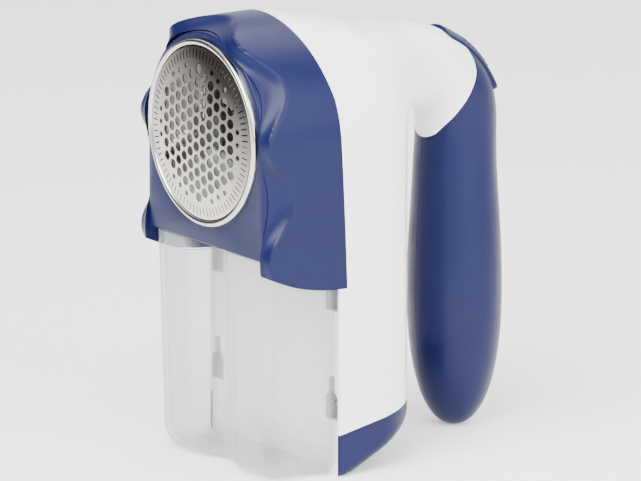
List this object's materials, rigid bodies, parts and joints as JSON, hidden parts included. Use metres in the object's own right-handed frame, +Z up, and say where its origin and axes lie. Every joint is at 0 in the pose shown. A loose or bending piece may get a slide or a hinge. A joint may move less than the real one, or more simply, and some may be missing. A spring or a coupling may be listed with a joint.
{
  "type": "fabric shaver",
  "caption": "Battery fabric shaver with an arched shaving head, perforated foil, clear lint bin, two-cell body and a hanging handle with a power slider.",
  "frame": {"origin": "middle of the box round the whole shaver, at the height of the surface it stands on", "axes": "+Z up, -Y is the way the shaving head faces, +X across to the right seen from behind it"},
  "size_m": [0.0706, 0.1124, 0.1403],
  "materials": {
    "navy_plastic": "fine satin moulded texture",
    "white_plastic": "polished",
    "clear_plastic": "polished transparent plastic",
    "foil_steel": "satin rolled foil",
    "rim_chrome": "polished",
    "blade_steel": "ground",
    "inner_plastic": "plain moulding",
    "black_plastic": "plain moulding",
    "motor_steel": "zinc plated",
    "magnet": "dark ceramic",
    "armature": "laminated, wound with enamelled wire",
    "bushing": "sintered",
    "contact_metal": "nickel plated",
    "cell_wrapper": "plain printed sleeve",
    "screw_steel": "zinc plated",
    "red_wire": "plain insulation",
    "black_wire": "plain insulation"
  },
  "bodies": {
    "root": {"body_shell_left": "white_plastic", "body_shell_right": "white_plastic", "body_screws": "screw_steel", "handle_left": "navy_plastic", "handle_right": "navy_plastic", "handle_screws": "screw_steel", "hood": "navy_plastic", "cutter_chamber": "inner_plastic", "motor_can": "motor_steel", "motor_endcap": "black_plastic", "motor_bushings": "bushing", "motor_magnets": "magnet", "motor_terminals": "contact_metal", "motor_screws": "screw_steel", "cell_left": "cell_wrapper", "cell_right": "cell_wrapper", "battery_roof": "inner_plastic", "top_contact_positive": "contact_metal", "top_contact_negative": "contact_metal", "top_contact_spring": "contact_metal", "slide_switch": "black_plastic", "lead_battery_to_switch": "red_wire", "lead_switch_to_motor": "red_wire", "lead_battery_to_motor": "black_wire"},
    "head_cover": {"foil_cover": "navy_plastic", "foil_rim": "rim_chrome", "foil": "foil_steel"},
    "drive": {"motor_shaft": "motor_steel", "motor_armature": "armature", "drive_dog": "black_plastic", "cutter_spring": "motor_steel"},
    "cutter": {"cutter_blades": "blade_steel", "cutter_hub": "black_plastic"},
    "lint_bin": {"lint_bin": "clear_plastic"},
    "base_cap": {"base_cap": "navy_plastic", "bridge_contact": "contact_metal", "bridge_spring": "contact_metal"},
    "power_slider": {"power_slider": "navy_plastic", "switch_lever": "black_plastic"}
  },
  "joints": [
    {"name": "head_cover_pull", "type": "slide", "parent": "root", "child": "head_cover", "axis": [0, -1, 0], "range_m": [0, 0.03]},
    {"name": "motor_spin", "type": "hinge", "parent": "root", "child": "drive", "pos_m": [0, 0, 0.105], "axis": [0, 1, 0], "continuous": true},
    {"name": "cutter_float", "type": "slide", "parent": "drive", "child": "cutter", "axis": [0, 1, 0], "range_m": [0, 0.001], "stiffness_N_per_m": 120, "springref_m": -0.002, "deforming": ["cutter_spring"]},
    {"name": "lint_bin_pull", "type": "slide", "parent": "root", "child": "lint_bin", "axis": [0, -1, 0], "range_m": [0, 0.045]},
    {"name": "base_cap_pull", "type": "slide", "parent": "root", "child": "base_cap", "axis": [0, 0, -1], "range_m": [0, 0.03]},
    {"name": "power_slide", "type": "hinge", "parent": "root", "child": "power_slider", "pos_m": [0, 0.0175, 0.0918], "axis": [1, 0, 0], "range_deg": [0, 7]}
  ]
}
